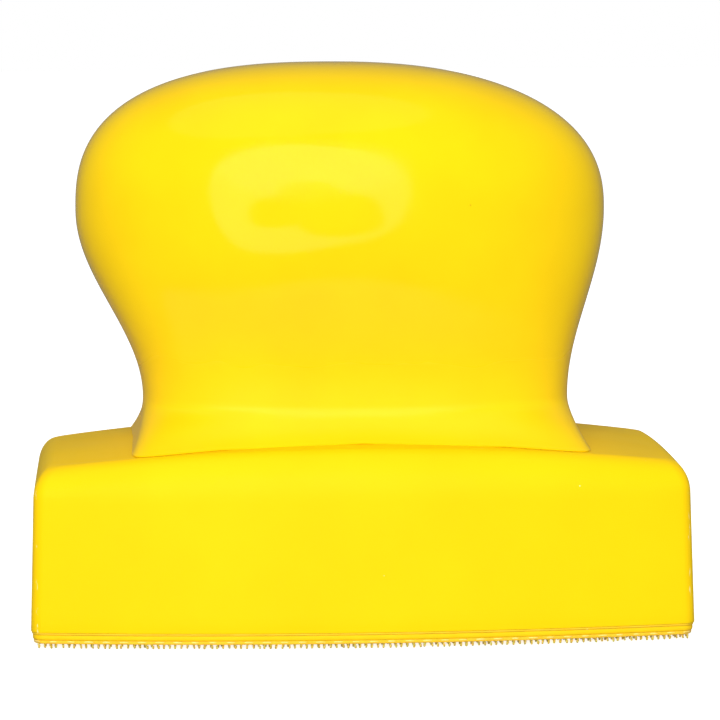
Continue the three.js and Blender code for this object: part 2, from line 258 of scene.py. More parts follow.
class Finish:
    """A named surface finish. Each kind says how its nodes are laid out."""

    name = "finish"

    def surface(self, nodes: Nodes, place: Socket) -> bpy.types.Node:
        """Lay out the shader; place is the object coordinate in metres."""
        raise NotImplementedError

    def material(self) -> bpy.types.Material:
        """The finish as a Blender material, made once."""
        found = bpy.data.materials.get(self.name)
        if found:
            return found
        made = bpy.data.materials.new(self.name)
        made.use_nodes = True
        nodes = Nodes(made.node_tree)
        place = nodes.add("ShaderNodeTexCoord").outputs["Object"]
        shader = self.surface(nodes, place)
        nodes.add("ShaderNodeOutputMaterial", Surface=shader.outputs[0])
        return made


def speckle(nodes: Nodes, place: Socket, spacing: float, radius_share: float) -> Socket:
    """Sparse round specks.

    Args:
        nodes: Tree to add to.
        place: Object coordinate.
        spacing: Mean distance between cells in metres.
        radius_share: Radius of a speck as a share of the spacing.

    Returns:
        A socket that is 1 in a speck and 0 elsewhere.
    """
    cells = nodes.add("ShaderNodeTexVoronoi", Vector=place, Scale=1 / spacing)
    distance = cells.outputs["Distance"]
    speck = nodes.ranged(distance, From_Min=radius_share, From_Max=radius_share * 0.5)
    random = nodes.add("ShaderNodeSeparateColor", Color=cells.outputs["Color"]).outputs[0]
    return nodes.maths("MULTIPLY", speck, nodes.maths("GREATER_THAN", random, SPECK_RARITY))


def mottled(nodes: Nodes, place: Socket, first: str, second: str, size: float) -> Socket:
    """Colour that drifts softly between two sRGB hex colours, in patches of a size in metres."""
    share = nodes.ranged(nodes.noise(place, size, 3.0), From_Min=0.3, From_Max=0.7)
    mix = nodes.add("ShaderNodeMix", {"data_type": "RGBA"}, Factor=share)
    mix.inputs[6].default_value = linear(first)
    mix.inputs[7].default_value = linear(second)
    return mix.outputs[2]


def tinted(nodes: Nodes, base: Socket, share: Socket, tint: str) -> Socket:
    """Base with the tint laid over it where share is 1; tint is sRGB hex."""
    mix = nodes.add("ShaderNodeMix", {"data_type": "RGBA"}, Factor=share)
    nodes.tree.links.new(base, mix.inputs[6])
    mix.inputs[7].default_value = linear(tint)
    return mix.outputs[2]


def bumped(nodes: Nodes, height: Socket, depth: float, under: Socket | None = None) -> Socket:
    """Normal for a height pattern.

    Args:
        nodes: Tree to add to.
        height: Height pattern from 0 to 1.
        depth: Height that 1 stands for, in metres.
        under: Normal of a coarser pattern beneath it.

    Returns:
        The normal socket.
    """
    bump = nodes.add("ShaderNodeBump", Strength=1.0, Distance=depth, Height=height)
    if under is not None:
        nodes.tree.links.new(under, bump.inputs["Normal"])
    return bump.outputs["Normal"]


@dataclass(frozen=True)
class MouldedGloss(Finish):
    """Glossy moulded polyurethane skin, with slow waves and stray pinholes."""

    name: str = "glossy_moulded_polyurethane"
    deep: str = "F3C907"
    light: str = "F5CE09"
    wave_size: float = 9 * MM
    wave_depth: float = 0.02 * MM
    peel_size: float = 0.9 * MM
    peel_depth: float = 0.0022 * MM
    speck_spacing: float = 7 * MM
    gloss_above: float = 68 * MM
    dull_below: float = 48 * MM
    dulling: float = 0.22

    def surface(self, nodes: Nodes, place: Socket) -> bpy.types.Node:
        """Waves and fine peel bend the reflections, the neck is duller, and a few specks show."""
        colour = mottled(nodes, place, self.deep, self.light, 14 * MM)
        specks = speckle(nodes, place, self.speck_spacing, 0.022)
        wave = nodes.noise(place, self.wave_size, 1.0)
        peel = nodes.noise(place, self.peel_size, 2.0)
        normal = bumped(nodes, wave, self.wave_depth)
        height = nodes.add("ShaderNodeSeparateXYZ", Vector=place).outputs["Z"]
        dulled = nodes.ranged(
            height, From_Min=self.gloss_above, From_Max=self.dull_below, To_Max=self.dulling
        )
        polish = nodes.ranged(wave, To_Min=0.07, To_Max=0.13)
        return nodes.principled(
            Base_Color=tinted(nodes, colour, specks, "A87A08"),
            Roughness=nodes.maths("ADD", polish, dulled),
            IOR=1.5,
            Specular_IOR_Level=0.24,
            Normal=bumped(nodes, peel, self.peel_depth, normal),
        )


@dataclass(frozen=True)
class MouldedSatin(Finish):
    """Satin moulded polyurethane: soft sheen, faint specks, and pale dashes on its corner edges
    that are partly painted highlight and partly wear.
    """

    name: str = "satin_moulded_polyurethane"
    deep: str = "F4CA06"
    light: str = "F6CE08"
    grain_size: float = 0.5 * MM
    grain_depth: float = 0.008 * MM
    ripple_size: float = 12 * MM
    ripple_depth: float = 0.05 * MM
    highlight_and_wear_at: tuple[float, float] = (61.3 * MM, 25 * MM)
    highlight_and_wear_half_width: float = 0.2 * MM

    def surface(self, nodes: Nodes, place: Socket) -> bpy.types.Node:
        """A fine grain breaks the sheen; the upright corner edges carry pale dashes, partly
        painted highlight and partly wear.
        """
        colour = mottled(nodes, place, self.deep, self.light, 18 * MM)
        specks = speckle(nodes, place, 4.5 * MM, 0.035)
        colour = tinted(nodes, colour, specks, "FFF0A0")
        grain = nodes.noise(place, self.grain_size, 3.0)
        ripple = nodes.noise(place, self.ripple_size, 1.0)
        normal = bumped(nodes, ripple, self.ripple_depth)
        return nodes.principled(
            # Pale FBE58C dashes down the corner edges: partly painted highlight, partly wear.
            Base_Color=tinted(nodes, colour, self.edge_highlight_and_wear(nodes, place), "FBE58C"),
            Roughness=nodes.ranged(ripple, To_Min=0.4, To_Max=0.5),
            IOR=1.48,
            Specular_IOR_Level=0.1,
            Normal=bumped(nodes, grain, self.grain_depth, normal),
        )

    def edge_highlight_and_wear(self, nodes: Nodes, place: Socket) -> Socket:
        """Share of painted highlight and wear: 1 in short dashes down the upright corner edges."""
        part = nodes.add("ShaderNodeSeparateXYZ", Vector=place)
        across, deep = (nodes.maths("ABSOLUTE", part.outputs[axis]) for axis in ("X", "Y"))
        line = nodes.maths("COMPARE", across, self.highlight_and_wear_at[0], self.highlight_and_wear_half_width)
        corner = nodes.maths("GREATER_THAN", deep, self.highlight_and_wear_at[1])
        # Noise cut into short dashes of painted highlight and wear.
        highlight_and_wear_noise = nodes.noise(nodes.scaled(place, 1.0, 1.0, 0.35), 0.7 * MM, 2.0)
        highlight_and_wear_dashes = nodes.ranged(highlight_and_wear_noise, From_Min=0.6, From_Max=0.68)
        return nodes.maths("MULTIPLY", nodes.maths("MULTIPLY", line, corner), highlight_and_wear_dashes)


@dataclass(frozen=True)
class GlassFilledPlastic(Finish):
    """Black glass-filled plastic: dull, with a fine mottled grain of fibres near the skin."""

    name: str = "black_glass_filled_plastic"

    def surface(self, nodes: Nodes, place: Socket) -> bpy.types.Node:
        """Short fibres show as a stretched grain, and the skin is dull."""
        fibre = nodes.noise(nodes.scaled(place, 0.25, 1.0, 1.0), 0.3 * MM, 2.0)
        return nodes.principled(
            Base_Color=mottled(nodes, place, "26282A", "34373A", 1.2 * MM),
            Roughness=0.6,
            IOR=1.5,
            Normal=bumped(nodes, fibre, 0.01 * MM),
        )


@dataclass(frozen=True)
class ZincPlatedSteel(Finish):
    """Zinc-plated steel: a bright metal with a slightly uneven, bluish plate."""

    name: str = "zinc_plated_steel"

    def surface(self, nodes: Nodes, place: Socket) -> bpy.types.Node:
        """The plate's tone and polish drift over a few tenths of a millimetre."""
        tone = nodes.noise(place, 0.4 * MM, 2.0)
        return nodes.principled(
            Base_Color=mottled(nodes, place, "B4B8BC", "CDD1D6", 0.8 * MM),
            Metallic=1.0,
            Roughness=nodes.ranged(tone, To_Min=0.2, To_Max=0.38),
            Normal=bumped(nodes, tone, 0.004 * MM),
        )


@dataclass(frozen=True)
class AcrylicAdhesive(Finish):
    """Acrylic adhesive sheet: clear enough to take the yellow round it, with small bubbles."""

    name: str = "acrylic_adhesive"

    def surface(self, nodes: Nodes, place: Socket) -> bpy.types.Node:
        """Cloudy colour with bubbles that catch the light."""
        colour = mottled(nodes, place, "EDBF1C", "F2C930", 3 * MM)
        bubbles = speckle(nodes, place, 2.2 * MM, 0.14)
        return nodes.principled(
            Base_Color=tinted(nodes, colour, bubbles, "FBE38A"),
            Roughness=0.5,
            IOR=1.47,
            Specular_IOR_Level=0.3,
            Normal=bumped(nodes, bubbles, 0.02 * MM),
        )


@dataclass(frozen=True)
class CastSheet(Finish):
    """Flexible cast polyurethane sheet: a dull cut edge with faint knife drag lines."""

    name: str = "cast_polyurethane_sheet"

    def surface(self, nodes: Nodes, place: Socket) -> bpy.types.Node:
        """Drag lines run along the cut edge, a few tenths of a millimetre apart."""
        drag = nodes.noise(nodes.scaled(place, 0.12, 0.12, 1.0), 0.25 * MM, 2.0)
        return nodes.principled(
            Base_Color=mottled(nodes, place, "F4C60A", "F7CC10", 5 * MM),
            Roughness=0.55,
            IOR=1.48,
            Specular_IOR_Level=0.2,
            Normal=bumped(nodes, drag, 0.02 * MM),
        )


@dataclass(frozen=True)
class WovenNylon(Finish):
    """Woven multifilament nylon: bundled threads with a soft sheen along each yarn."""

    name: str = "woven_nylon_ground_cloth"
    yarn_pitch: float = YARN_PITCH

    def surface(self, nodes: Nodes, place: Socket) -> bpy.types.Node:
        """Filaments in each yarn show as fine lines, and the gaps between yarns are deeper."""
        filament = nodes.add(
            "ShaderNodeTexWave",
            {"wave_type": "BANDS", "bands_direction": "Y"},
            Vector=place,
            Scale=1 / (self.yarn_pitch * 2),
            Distortion=1.5,
            Detail=2.0,
        )
        return nodes.principled(
            Base_Color=mottled(nodes, place, "F2BB0A", "F6C820", 1.6 * MM),
            Roughness=0.6,
            IOR=1.53,
            Sheen_Weight=0.3,
            Normal=bumped(nodes, filament.outputs["Fac"], 0.03 * MM),
        )


@dataclass(frozen=True)
class SelvageThread(Finish):
    """Pale nylon binding thread round the cloth's edge: bright, tightly laid filaments."""

    name: str = "nylon_binding_thread"

    def surface(self, nodes: Nodes, place: Socket) -> bpy.types.Node:
        """Filaments run along the thread and catch the light."""
        twist = nodes.noise(nodes.scaled(place, 0.2, 0.2, 1.0), 0.12 * MM, 1.0)
        return nodes.principled(
            Base_Color=mottled(nodes, place, "F9DA55", "FCE68A", 0.7 * MM),
            Roughness=0.45,
            IOR=1.53,
            Sheen_Weight=0.2,
            Normal=bumped(nodes, twist, 0.02 * MM),
        )


@dataclass(frozen=True)
class HookNylon(Finish):
    """Heat-set nylon monofilament: pale, smooth and half translucent, so hooks glow through."""

    name: str = "heat_set_nylon_monofilament"

    def surface(self, nodes: Nodes, place: Socket) -> bpy.types.Node:
        """Light passes into the thin filament, and its tone drifts from hook to hook."""
        tone = nodes.noise(place, 0.6 * MM, 1.0)
        return nodes.principled(
            Base_Color=mottled(nodes, place, "F6D336", "FAE47C", 1.3 * MM),
            Roughness=nodes.ranged(tone, To_Min=0.25, To_Max=0.45),
            IOR=1.53,
            Transmission_Weight=0.35,
            Subsurface_Weight=0.3,
            Subsurface_Scale=0.4 * MM,
        )


@dataclass(frozen=True)
class StudioPaper(Finish):
    """White backlit paper under the object: matt, with a barely uneven tooth."""

    name: str = "white_studio_paper"

    def surface(self, nodes: Nodes, place: Socket) -> bpy.types.Node:
        """A matt white with a trace of texture."""
        return nodes.principled(
            Base_Color=mottled(nodes, place, "F6F6F5", "FAFAF9", 40 * MM),
            Roughness=0.9,
            Specular_IOR_Level=0.1,
            Emission_Color=WHITE,
            Emission_Strength=0.8,
        )


def dressed(
    piece: bpy.types.Object, finish: Finish, slot: str, *stands_for: str
) -> bpy.types.Object:
    """Give a piece its finish, body and CAD node.

    Args:
        piece: Plain mesh object in its final place.
        finish: Finish of the whole piece.
        slot: Material slot of the record; not used.
        *stands_for: CAD nodes that the piece replaces.

    Returns:
        The piece.
    """
    piece.data.materials.clear()
    piece.data.materials.append(finish.material())
    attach(piece, BODY)
    if stands_for:
        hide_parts(*stands_for)
    log.info("%s: %d faces, %s", piece.name, len(piece.data.polygons), finish.name)
    return piece


# ---------------------------------------------------------------- block


class Side(Enum):
    """Side of the parting plane that a grip half lies on."""

    FRONT = -1
    REAR = 1


@dataclass
class Block:
    """Satin block under the grip: bowed front and rear, soft ridge and an arched top."""

    low: Vector
    high: Vector
    face_bow: float = 5.5 * MM
    corner_radius: float = 2.6 * MM
    shoulder_height: float = 24.5 * MM
    height: float = 30.3 * MM
    side_draft: float = 0.7 * MM
    face_draft: float = 0.9 * MM
    ridge_inset_x: float = 4.4 * MM
    ridge_inset_y: float = 5.6 * MM
    crown_across: float = 3.6 * MM
    crown_deep: float = 1 * MM
    rim_radius: float = 0.08 * MM
    points_per_quarter: int = 72
    rim_steps: int = 4
    wall_steps: int = 9
    ridge_steps: int = 20
    top_steps: int = 30

    @property
    def rim_z(self) -> float:
        """Height of the lower edge."""
        return self.low.z

    @property
    def ridge_z(self) -> float:
        """Height of the ridge at its corners."""
        return self.rim_z + self.height

    @property
    def half_width(self) -> float:
        """Half the width of the lower edge."""
        return (self.high.x - self.low.x) / 2

    @property
    def half_depth(self) -> float:
        """Half the depth of the lower edge at mid-width."""
        return (self.high.y - self.low.y) / 2

    def outline(self, inset_x: float, inset_y: float, radius: float) -> list[tuple[float, float]]:
        """Plan outline, counter-clockwise from the middle of the right end.

        Args:
            inset_x: How far the ends lie inside the lower edge.
            inset_y: How far the front and rear lie inside it.
            radius: Radius of the upright corners.

        Returns:
            The outline's points.
        """
        half_x, half_y = self.half_width - inset_x, self.half_depth - inset_y
        lean = math.atan(2 * self.face_bow * (half_x - radius) / half_x**2)
        tangent_x = half_x - radius + radius * math.sin(lean)
        centre_y = half_y - self.face_bow * (tangent_x / half_x) ** 2 - radius * math.cos(lean)
        end_points, arc_points = self.points_per_quarter // 4, self.points_per_quarter // 5
        face_points = self.points_per_quarter - end_points - arc_points
        quarter = [(half_x, centre_y * k / end_points) for k in range(end_points)]
        for k in range(arc_points):
            angle = (math.pi / 2 - lean) * k / arc_points
            quarter.append(
                (half_x - radius + radius * math.cos(angle), centre_y + radius * math.sin(angle))
            )
        for k in range(face_points):
            x = tangent_x * (1 - k / face_points)
            quarter.append((x, half_y - self.face_bow * (x / half_x) ** 2))
        back = [(-x, y) for x, y in reversed(quarter[1:])]
        upper = quarter + [(0.0, half_y)] + back
        return upper + [(-x, -y) for x, y in upper]

    def crown(self, share_x: float, share_y: float) -> float:
        """Rise of the arched top over its corners, at shares of its half sizes."""
        return self.crown_across * (1 - share_x**2) + self.crown_deep * (1 - share_y**2)

    def top_z(self, x: float, y: float) -> float:
        """Height of the top at a place, on the arch or on the rounded front or rear ridge."""
        half_x = self.half_width - self.side_draft - self.ridge_inset_x
        bowed = self.face_bow * (x / half_x) ** 2
        ridge_y = self.half_depth - self.face_draft - self.ridge_inset_y - bowed
        past = clamp((abs(y) - ridge_y) / self.ridge_inset_y)
        arch = self.ridge_z + self.crown(x / half_x, min(abs(y), ridge_y) / (ridge_y + bowed))
        fall = 1 - math.sqrt(1 - past**2)
        return arch - (self.height - self.shoulder_height) * fall

    def levels(self) -> list[tuple[float, float, float, float, float]]:
        """(inset x, inset y, height, crown share, scale) of each ring, from the rim up."""
        rim = self.rim_radius
        found = []
        for k in range(self.rim_steps + 1):
            angle = math.pi / 2 * k / self.rim_steps
            turn = rim * (1 - math.sin(angle))
            found.append((turn, turn, self.rim_z + rim * (1 - math.cos(angle)), 0.0, 1.0))
        for k in range(1, self.wall_steps):
            share = k / self.wall_steps
            height = lerp(self.rim_z + rim, self.rim_z + self.shoulder_height, share)
            found.append((self.side_draft * share, self.face_draft * share, height, 0.0, 1.0))
        for k in range(self.ridge_steps + 1):
            angle = math.pi / 2 * k / self.ridge_steps
            turn = 1 - math.cos(angle)
            found.append(
                (
                    self.side_draft + self.ridge_inset_x * turn,
                    self.face_draft + self.ridge_inset_y * turn,
                    self.rim_z + lerp(self.shoulder_height, self.height, math.sin(angle)),
                    math.sin(angle),
                    1.0,
                )
            )
        inner = self.side_draft + self.ridge_inset_x, self.face_draft + self.ridge_inset_y
        for k in range(1, self.top_steps):
            found.append((*inner, self.ridge_z, 1.0, 1 - k / self.top_steps))
        return found

    def shell(self) -> bpy.types.Object:
        """The outer form as one closed mesh."""
        points: list[Point] = []
        levels = self.levels()
        for inset_x, inset_y, height, crown, scale in levels:
            half_x, half_y = self.half_width - inset_x, self.half_depth - inset_y
            for x, y in self.outline(inset_x, inset_y, self.corner_radius):
                rise = crown * self.crown(scale * x / half_x, scale * y / half_y)
                points.append((scale * x, scale * y, height + rise))
        count = len(points) // len(levels)
        faces = ring_skin(len(levels), count)
        faces.append(tuple(reversed(range(count))))
        points.append((0.0, 0.0, self.ridge_z + self.crown(0, 0)))
        last = (len(levels) - 1) * count
        for k in range(count):
            faces.append((last + k, last + (k + 1) % count, len(points) - 1))
        return mesh_object("moulded_block", points, faces)

    def build(self, plate: "StiffenerPlate", grip: "Grip") -> None:
        """Cut the plate's pocket and the plug's socket, and dress the block."""
        pocket = plate.slab("pocket", plate.fit, self.rim_z - plate.fit, plate.top_z + plate.fit)
        socket = grip.plug_slab("socket", grip.fit, self.rim_z, self.top_z(0, 0) + grip.fit)
        piece = combined(combined(self.shell(), pocket, "DIFFERENCE"), socket, "DIFFERENCE")
        smoothed(piece, 42)
        dressed(piece, MouldedSatin(), "block_yellow", "block")


def rounded_slab(
    name: str, half_x: float, half_y: float, radius: float, low_z: float, high_z: float
) -> bpy.types.Object:
    """A flat slab with round corners.

    Args:
        name: Name of the piece.
        half_x: Half its width.
        half_y: Half its depth.
        radius: Radius of its corners.
        low_z: Height of its underside.
        high_z: Height of its top.

    Returns:
        The closed object.
    """
    outline = []
    for turn, (sign_x, sign_y) in enumerate(((1, 1), (-1, 1), (-1, -1), (1, -1))):
        for k in range(CORNER_STEPS + 1):
            angle = math.pi / 2 * (turn + k / CORNER_STEPS)
            x = sign_x * (half_x - radius) + radius * math.cos(angle)
            outline.append((x, sign_y * (half_y - radius) + radius * math.sin(angle)))
    points = [(x, y, z) for z in (low_z, high_z) for x, y in outline]
    return capped(name, points, len(outline))


@dataclass
class StiffenerPlate:
    """Plate let into the block's underside; the CAD node is shown with its own finish."""

    low: Vector
    high: Vector
    corner_radius: float = 6 * MM
    fit: float = 0.3 * MM

    @property
    def top_z(self) -> float:
        """Height of the plate's top."""
        return self.high.z

    def slab(self, name: str, grow: float, low_z: float, high_z: float) -> bpy.types.Object:
        """A slab of the plate's outline, grown by a clearance, between two heights."""
        half_x, half_y = self.high.x + grow, self.high.y + grow
        return rounded_slab(name, half_x, half_y, self.corner_radius + grow, low_z, high_z)

    def build(self, node: bpy.types.Object) -> None:
        """Dress the plate's CAD node."""
        node.data.materials.clear()
        node.data.materials.append(GlassFilledPlastic().material())
        log.info("stiffener_plate: CAD node dressed")


# ---------------------------------------------------------------- grip


@dataclass
class Grip:
    """Glossy two-shell palm grip: bulb, neck and flared foot on the block."""

    top_z: float
    block: Block
    bulb_rise: float = 46.7 * MM
    neck_rise: float = 10.7 * MM
    foot_rise: float = 1.2 * MM
    bulb_half: tuple[float, float] = (51 * MM, 27.5 * MM)
    neck_half: tuple[float, float] = (41 * MM, 20.5 * MM)
    foot_half_width: float = 44 * MM
    foot_reach: float = 1.7 * MM
    foot_bow: float = 2.6 * MM
    flare_exponent: float = 2.1
    dome_exponent: float = 2.45
    bulb_plan: float = 2.2
    neck_plan: float = 3.2
    foot_plan: float = 24
    bulb_shift: float = -2.6 * MM
    crown_shift: float = -5.6 * MM
    wall: float = 3 * MM
    seam: float = 0.06 * MM
    lip: float = 0.22 * MM
    fit: float = 0.3 * MM
    plug_inset: float = 3.2 * MM
    plug_radius: float = 6 * MM
    points_half: int = 120
    neck_rows: int = 36
    dome_rows: int = 46
    flare_rows: int = 14
    hollow_rows: int = 12
    plug_lap: float = 1.5 * MM
    screw_seat_y: float = 10 * MM
    screw_reach: float = 10.3 * MM
    boss_wall: float = 1.6 * MM
    head_bore: float = 3.7 * MM
    shank_bore: float = 2.05 * MM
    bore_edge: float = 0.5 * MM
    screw_places: list[tuple[float, float]] = field(default_factory=list)

    @property
    def bulb_z(self) -> float:
        """Height of the widest level."""
        return self.block.ridge_z + self.bulb_rise

    @property
    def neck_z(self) -> float:
        """Height of the narrowest level."""
        return self.block.ridge_z + self.neck_rise

    @property
    def foot_z(self) -> float:
        """Height below which the foot keeps its full size."""
        return self.block.ridge_z + self.foot_rise

    @property
    def foot_half(self) -> tuple[float, float]:
        """Half sizes of the foot."""
        block = self.block
        depth = block.half_depth - block.face_draft - block.ridge_inset_y + self.foot_reach
        return self.foot_half_width, depth

    def swell(self, z: float) -> float:
        """How far a height is on its way from the neck, 0, to the bulb, 1."""
        rise = clamp((z - self.neck_z) / (self.bulb_z - self.neck_z))
        return (1 - math.cos(math.pi * rise)) / 2

    def shift(self, z: float) -> float:
        """How far the grip's axis is off the block's centre line at a height."""
        rise = clamp((z - self.bulb_z) / (self.top_z - self.bulb_z))
        return self.bulb_shift * self.swell(z) + (self.crown_shift - self.bulb_shift) * rise**2

    def half(self, z: float, axis: int, inset: float) -> float:
        """Half size along an axis, 0 for X and 1 for Y, at a height and an inset."""
        bulb, neck, foot = self.bulb_half[axis], self.neck_half[axis], self.foot_half[axis]
        if z >= self.bulb_z:
            rise = clamp((z - self.bulb_z) / (self.top_z - inset - self.bulb_z))
            share = (1 - rise**self.dome_exponent) ** (1 / self.dome_exponent)
            return (bulb - inset) * share
        if z >= self.neck_z:
            return neck - inset + (bulb - neck) * self.swell(z)
        return neck - inset + (foot - neck) * self.ease(z)

    def ease(self, z: float) -> float:
        """How far a height is on its way from the neck, 0, to the foot, 1."""
        return clamp((self.neck_z - z) / (self.neck_z - self.foot_z)) ** self.flare_exponent

    def exponent(self, z: float) -> float:
        """Superellipse exponent of the level section at a height."""
        upper = lerp(self.neck_plan, self.bulb_plan, self.swell(z))
        return lerp(upper, self.foot_plan, self.ease(z))

    def section(
        self, z: float, angle: float, inset: float, mirror: float = 1.0
    ) -> tuple[float, float]:
        """Plan place on the level section at a height.

        Args:
            z: Height in metres.
            angle: Angle round the section.
            inset: How far inside the surface it lies.
            mirror: 1, or -1 for the same place on the other side of the axis.

        Returns:
            The place's X and Y.
        """
        power = 2 / self.exponent(z)
        across = mirror * signed_power(round(math.cos(angle), 12), power)
        deep = signed_power(math.sin(angle), power)
        deep *= 1 - self.ease(z) * self.foot_bow / self.foot_half[1] * across**2
        return self.half(z, 0, inset) * across + self.shift(z), self.half(z, 1, inset) * deep

    def foot_point(self, angle: float, mirror: float, gap: float) -> float:
        """Height at which the foot's surface comes down to the block's top.

        Args:
            angle: Angle round the level section.
            mirror: 1, or -1 for the other side of the axis.
            gap: Clearance to the block.

        Returns:
            The height in metres.
        """
        z = self.foot_z
        for _ in range(6):
            z = self.block.top_z(*self.section(z, angle, 0, mirror)) + gap
        return z

    def skin_y(self, x: float, z: float) -> float:
        """Depth of the rear surface at a place across and up the bulb."""
        n = self.exponent(z)
        share = clamp(abs((x - self.shift(z)) / self.half(z, 0, 0)))
        return self.half(z, 1, 0) * (1 - share**n) ** (1 / n)

    def lip_places(self, z: float) -> list[tuple[float, float]]:
        """(angle, mirror) round half a level section, with extra ones at the seam's two lips."""
        depth = max(self.half(z, 1, 0), 2 * self.lip)
        near = [math.asin((self.lip * k / 3 / depth) ** (self.exponent(z) / 2)) for k in range(4)]
        count = self.points_half // 2
        quarter = near + [lerp(near[-1], math.pi / 2, k / count) for k in range(1, count + 1)]
        return [(angle, 1.0) for angle in quarter] + [(angle, -1.0) for angle in quarter[-2::-1]]

    def outer_ring(self, z: float, side: Side) -> list[Point]:
        """One level row of a half's outer skin, rounded in at the seam."""
        ring = []
        for angle, mirror in self.lip_places(z):
            x, y = self.section(z, angle, 0, mirror)
            short = self.lip - min(y, self.lip)
            sunk = self.lip - math.sqrt(self.lip**2 - short**2)
            x -= math.copysign(min(sunk, abs(x - self.shift(z))), x - self.shift(z))
            ring.append((x, side.value * (y + self.seam / 2), z))
        return ring

    def foot_rows(self, side: Side) -> list[list[Point]]:
        """Rows of a half from the middle of its underside out to its edge and up to the neck."""
        places = self.lip_places(self.foot_z)
        rows: list[list[Point]] = []
        edges = []
        for angle, mirror in places:
            low = self.foot_point(angle, mirror, self.seam + self.lip)
            edges.append((*self.section(low, angle, 0, mirror), low))
        for k in range(1, 9):
            share = k / 8 * 0.985
            rows.append(
                [
                    (x * share, y * share, self.block.top_z(x * share, y * share) + self.seam)
                    for x, y, _ in edges
                ]
            )
        for k in range(1, 4):
            turn = math.pi / 2 * k / 4
            row = []
            for x, y, z in edges:
                inward = self.lip * (1 - math.sin(turn)) / max(math.hypot(x, y), self.lip)
                row.append((x * (1 - inward), y * (1 - inward), z - self.lip * math.cos(turn)))
            rows.append(row)
        for k in range(self.flare_rows):
            row = []
            for (angle, mirror), (_, _, low) in zip(places, edges):
                z = lerp(low, self.neck_z, k / self.flare_rows)
                row.append((*self.section(z, angle, 0, mirror), z))
            rows.append(row)
        return [[(x, side.value * (y + self.seam / 2), z) for x, y, z in row] for row in rows]

    def solid_half(self, side: Side) -> bpy.types.Object:
        """One half of the grip as a closed solid, before it is hollowed.

        Args:
            side: Side of the parting plane.

        Returns:
            The solid, with a rounded lip along its seam and a rounded foot edge.
        """
        rows = self.foot_rows(side) + [self.outer_ring(z, side) for z in self.heights()]
        plane = side.value * self.seam / 2
        count = len(rows[0])
        points = [p for row in rows for p in row]
        bottom, top = len(points), len(points) + 1
        points.append((0.0, plane, self.block.top_z(0, 0) + self.seam))
        points.append((self.shift(self.top_z), plane, self.top_z))
        faces = ring_skin(len(rows), count, close_round=False)
        last = (len(rows) - 1) * count
        for k in range(count - 1):
            faces.append((bottom, k + 1, k))
            faces.append((last + k, last + k + 1, top))
        right = [level * count for level in range(len(rows))]
        left = [i + count - 1 for i in right]
        faces.append(tuple([bottom] + right + [top] + list(reversed(left))))
        if side is Side.FRONT:
            faces = [tuple(reversed(face)) for face in faces]
        return mesh_object(f"{side.name.lower()}_shell", points, faces)

    def heights(self) -> list[float]:
        """Heights of the outer rows from the neck to just under the crown."""
        return self.spaced(self.neck_rows, self.dome_rows, self.top_z)

    def spaced(self, below: int, above: int, end: float) -> list[float]:
        """Heights from the neck to the widest level and on to the end, closer near the end."""
        found = [lerp(self.neck_z, self.bulb_z, k / below) for k in range(below)]
        turns = [math.pi / 2 * k / above for k in range(above)]
        return found + [lerp(self.bulb_z, end, math.sin(turn)) for turn in turns]

    def hollow(self) -> bpy.types.Object:
        """The space inside both halves, from its floor at the neck to its top."""
        end = self.top_z - self.wall
        levels = self.spaced(self.hollow_rows, self.hollow_rows, end)
        count = 48
        points: list[Point] = []
        for z in levels:
            for k in range(count):
                points.append((*self.section(z, 2 * math.pi * k / count, self.wall), z))
        faces = ring_skin(len(levels), count)
        faces.append(tuple(reversed(range(count))))
        last = len(points) - count
        points.append((self.shift(end), 0.0, end))
        faces += [(last + k, last + (k + 1) % count, len(points) - 1) for k in range(count)]
        return mesh_object("hollow", points, faces)

    def plug_slab(self, name: str, grow: float, low_z: float, high_z: float) -> bpy.types.Object:
        """A slab of the plug's outline, grown by a clearance, between two heights."""
        half_x = self.neck_half[0] - self.plug_inset + grow
        half_y = self.neck_half[1] - self.plug_inset + grow
        return rounded_slab(name, half_x, half_y, self.plug_radius + grow, low_z, high_z)

    def plug_half(self, side: Side, low_z: float, high_z: float) -> bpy.types.Object:
        """The plug's half on one side of the parting plane."""
        half_x = self.neck_half[0] - self.plug_inset
        half_y = self.neck_half[1] - self.plug_inset
        radius, plane = self.plug_radius, self.seam / 2
        outline = [(half_x, plane)]
        for turn, sign in enumerate((1, -1)):
            for k in range(CORNER_STEPS + 1):
                angle = math.pi / 2 * (turn + k / CORNER_STEPS)
                x = sign * (half_x - radius) + radius * math.cos(angle)
                outline.append((x, half_y - radius + radius * math.sin(angle)))
        outline.append((-half_x, plane))
        points = [(x, side.value * y, z) for z in (low_z, high_z) for x, y in outline]
        return capped("plug_half", points, len(outline), flipped=side is Side.FRONT)

    def bosses(self, side: Side) -> list[bpy.types.Object]:
        """Round bosses for the screws on one side, running into the wall of the shell."""
        bars = []
        radius = self.head_bore + self.boss_wall
        for x, z in self.screw_places:
            edge = x + math.copysign(radius, x)
            reach = self.skin_y(edge, z) - self.wall / 4
            bar = turned("boss", [(radius, self.seam / 2), (radius, reach)], 32)
            bar.data.transform(Matrix.Rotation(math.radians(-90 * side.value), 4, "X"))
            bar.data.transform(Matrix.Translation((x, 0, z)))
            bars.append(bar)
        return bars

    def bores(self, side: Side) -> list[bpy.types.Object]:
        """Stepped screw holes: through the rear half, and blind in the front half.

        Args:
            side: Side of the parting plane.

        Returns:
            The cutters; at the rear surface each hole has a small round edge.
        """
        cutters = []
        for x, z in self.screw_places:
            if side is Side.FRONT:
                profile = [(self.shank_bore, -self.screw_reach), (self.shank_bore, self.wall)]
                cutter = turned("bore", profile, 32)
                cutter.data.transform(Matrix.Rotation(math.radians(-90), 4, "X"))
                cutter.data.transform(Matrix.Translation((x, 0, z)))
            else:
                cutter = self.counterbore(x, z)
            cutters.append(cutter)
        return cutters

